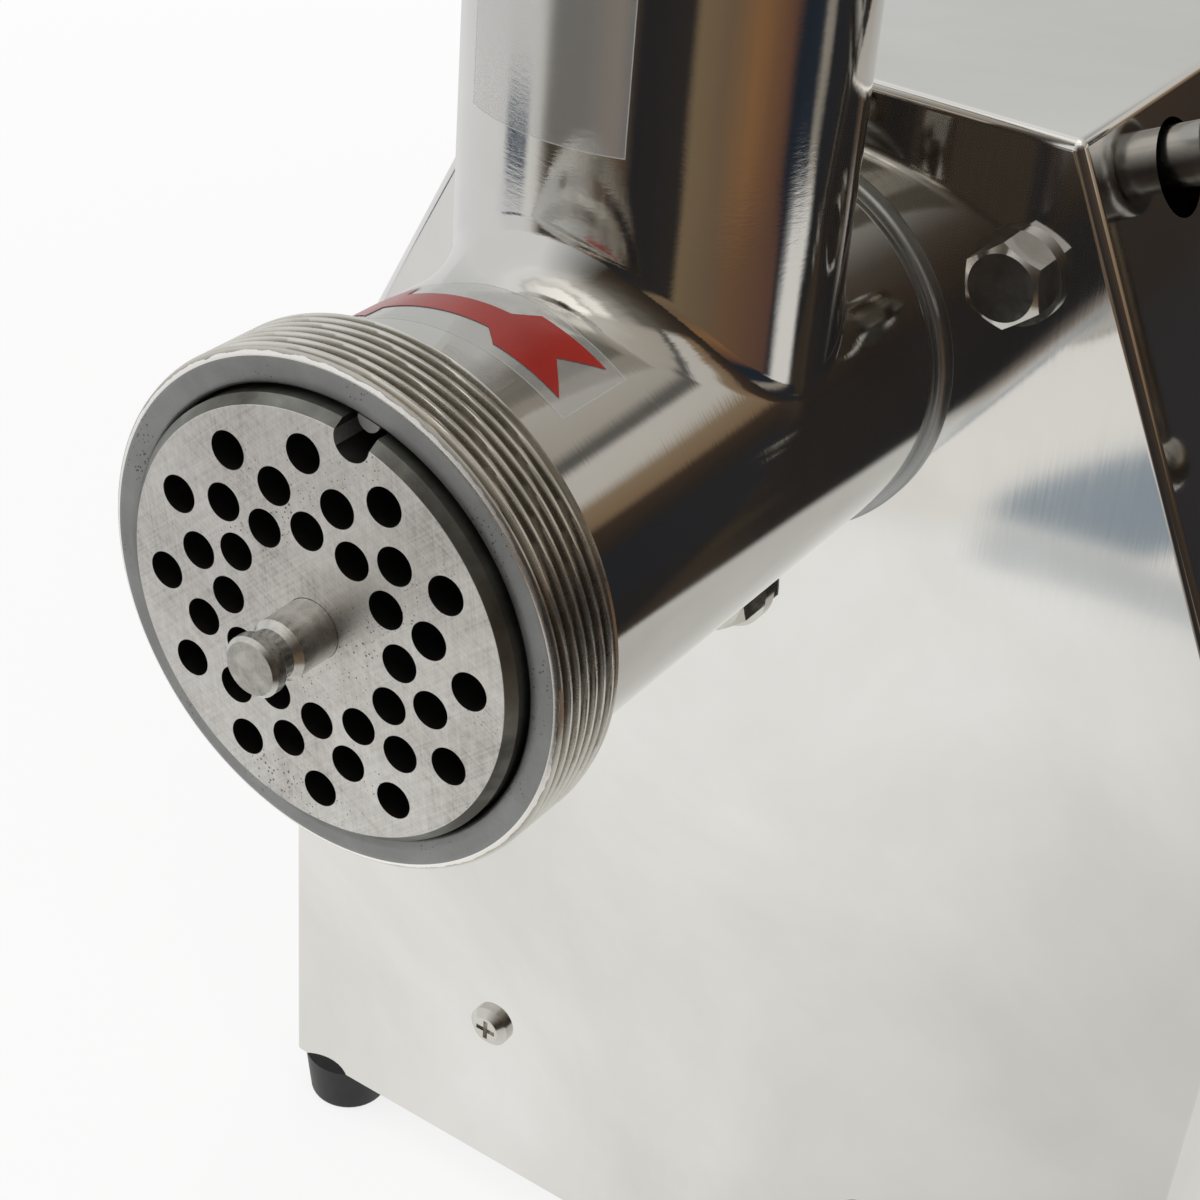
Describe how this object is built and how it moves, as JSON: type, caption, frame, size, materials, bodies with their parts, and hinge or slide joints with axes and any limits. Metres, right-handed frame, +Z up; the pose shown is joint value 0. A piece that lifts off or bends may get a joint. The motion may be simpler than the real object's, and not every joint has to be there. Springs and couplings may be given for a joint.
{
  "type": "electric meat grinder",
  "caption": "Electric meat grinder with a folded stainless housing, sloped shoulders, a polished grinder head with a threaded nose and an upright throat, and a hole plate on a grooved pin",
  "frame": {"origin": "on the table under the middle of the whole machine's box", "axes": "+Z up, the grinding plate faces -Y, +X is on the right of someone facing the plate"},
  "size_m": [0.2228, 0.4014, 0.3608],
  "materials": {
    "polished_stainless": "mirror polished",
    "panel_stainless": "bright, faintly brushed",
    "ground_steel": "fine ground",
    "fastener_steel": "bright",
    "gasket_grey": "matte",
    "foot_rubber": "satin",
    "cast_alloy": "as cast",
    "gear_steel": "machined",
    "bronze": "machined",
    "motor_paint": "satin",
    "core_steel": "laminated",
    "copper": "lacquered",
    "black_plastic": "matte",
    "red_plastic": "gloss"
  },
  "bodies": {
    "frame": {"grinder_head": "polished_stainless", "head_gasket": "gasket_grey", "plate_key": "fastener_steel", "thrust_washer": "black_plastic", "auger_bushing": "bronze", "housing_shell": "panel_stainless", "rear_panel": "panel_stainless", "base_plate": "panel_stainless", "rubber_feet": "foot_rubber", "foot_screws": "fastener_steel", "foot_nuts": "fastener_steel", "panel_screws": "fastener_steel", "rear_screws": "fastener_steel", "flange_washers": "fastener_steel", "flange_bolts": "fastener_steel", "gearbox_housing": "cast_alloy", "gearbox_cover": "cast_alloy", "cover_screws": "fastener_steel", "shaft_seal": "foot_rubber", "output_bearings": "bronze", "counter_bushes": "bronze", "stator_core": "core_steel", "stator_windings": "copper", "motor_shell": "motor_paint", "motor_front_bell": "cast_alloy", "motor_rear_bell": "cast_alloy", "motor_bearings": "gear_steel", "motor_tie_bolts": "fastener_steel", "motor_cradle": "cast_alloy", "cradle_screws": "fastener_steel", "run_capacitor": "black_plastic", "capacitor_clamp": "panel_stainless", "switch_body": "black_plastic", "reset_breaker": "black_plastic", "cord_gland": "black_plastic", "gland_nut": "black_plastic"},
    "plate": {"grinding_plate": "ground_steel"},
    "auger_train": {"auger": "ground_steel", "cutter_knife": "ground_steel", "output_shaft": "gear_steel", "output_gear": "gear_steel"},
    "counter_train": {"countershaft": "gear_steel", "counter_gear": "gear_steel"},
    "motor_rotor": {"motor_shaft": "gear_steel", "rotor_core": "core_steel", "cooling_fan": "black_plastic"},
    "lock_pad_body": {"lock_pad": "bronze"},
    "lock_screw_body": {"lock_screw": "fastener_steel"},
    "cross_bar": {"tommy_bar": "fastener_steel"},
    "rocker": {"switch_rocker": "black_plastic"},
    "button": {"reset_button": "red_plastic"}
  },
  "joints": [
    {"name": "plate_pull", "type": "slide", "parent": "frame", "child": "plate", "axis": [0, -1, 0], "range_m": [0, 0.03]},
    {"name": "auger_spin", "type": "hinge", "parent": "frame", "child": "auger_train", "pos_m": [0, -0.0633, 0.2558], "axis": [0, -1, 0], "continuous": true},
    {"name": "countershaft_spin", "type": "hinge", "parent": "frame", "child": "counter_train", "pos_m": [0, 0.0217, 0.1988], "axis": [0, -1, 0], "continuous": true},
    {"name": "motor_spin", "type": "hinge", "parent": "frame", "child": "motor_rotor", "pos_m": [0, 0.0967, 0.15005], "axis": [0, -1, 0], "continuous": true},
    {"name": "lock_travel", "type": "slide", "parent": "frame", "child": "lock_pad_body", "axis": [0.8961, 0, 0.4438], "range_m": [0, 0.00875]},
    {"name": "lock_turn", "type": "hinge", "parent": "lock_pad_body", "child": "lock_screw_body", "pos_m": [0.05745, -0.0312, 0.2968], "axis": [0.8961, 0, 0.4438], "range_deg": [0, 1800]},
    {"name": "cross_bar_slide", "type": "slide", "parent": "lock_screw_body", "child": "cross_bar", "axis": [-0.4438, 0, 0.8961], "range_m": [0, 0.0394]},
    {"name": "rocker_swing", "type": "hinge", "parent": "frame", "child": "rocker", "pos_m": [0.036, 0.1857, 0.2438], "axis": [1, 0, 0], "range_deg": [-10, 10]},
    {"name": "reset_press", "type": "slide", "parent": "frame", "child": "button", "axis": [0, -1, 0], "range_m": [0, 0.003], "stiffness_N_per_m": 300}
  ],
  "couplings": [
    {"joint": "countershaft_spin", "follows": "auger_spin", "ratio": -2.3529},
    {"joint": "motor_spin", "follows": "auger_spin", "ratio": 7.8431},
    {"joint": "lock_travel", "follows": "lock_turn", "m_per_rad": 0.00027852}
  ]
}
